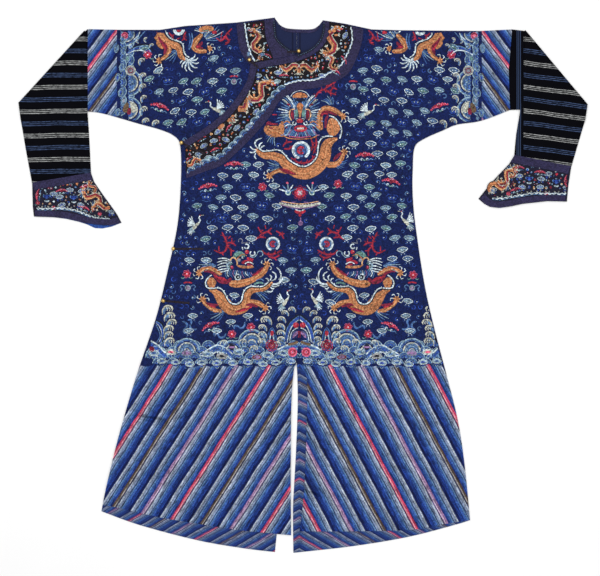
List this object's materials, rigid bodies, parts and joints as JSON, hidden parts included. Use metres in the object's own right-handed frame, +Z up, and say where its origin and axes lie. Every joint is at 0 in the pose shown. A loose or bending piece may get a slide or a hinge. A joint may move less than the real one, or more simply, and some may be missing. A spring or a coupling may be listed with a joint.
{
  "type": "robe",
  "caption": "Long embroidered court robe laid flat, front up, with a side-closing overlap, black lower sleeves folded down and flared cuffs",
  "frame": {"origin": "on the floor under the middle of the robe as it lies", "axes": "+X runs to the wearer's left across the sleeves, +Y from hem to neck, +Z up from the floor through the back to the front"},
  "size_m": [1.4803, 1.391, 0.0202],
  "materials": {
    "navy_silk": "satin weave",
    "black_silk": "striped satin",
    "braid": "woven braid",
    "dark_satin": "satin",
    "loop_cord": "sewn cord",
    "brass": "gilt"
  },
  "bodies": {
    "root": {"right_half": "navy_silk", "left_half": "navy_silk", "front_overlap": "navy_silk", "right_cuff": "navy_silk", "left_cuff": "navy_silk", "right_extension": "black_silk", "left_extension": "black_silk", "neck_binding_left": "braid", "neck_binding_right": "braid", "neck_binding_back": "braid", "edge_braid": "braid", "outer_braid_left": "braid", "outer_braid_right": "braid", "right_cuff_band": "braid", "left_cuff_band": "braid", "right_cuff_binding": "braid", "left_cuff_binding": "braid", "neck_band_left": "dark_satin", "neck_band_right": "dark_satin", "loop_neck": "loop_cord", "loop_collar": "loop_cord", "loop_arm": "loop_cord", "loop_waist": "loop_cord", "loop_hip": "loop_cord", "button_neck": "brass", "button_collar": "brass", "button_arm": "brass", "button_waist": "brass", "button_hip": "brass"}
  },
  "joints": []
}
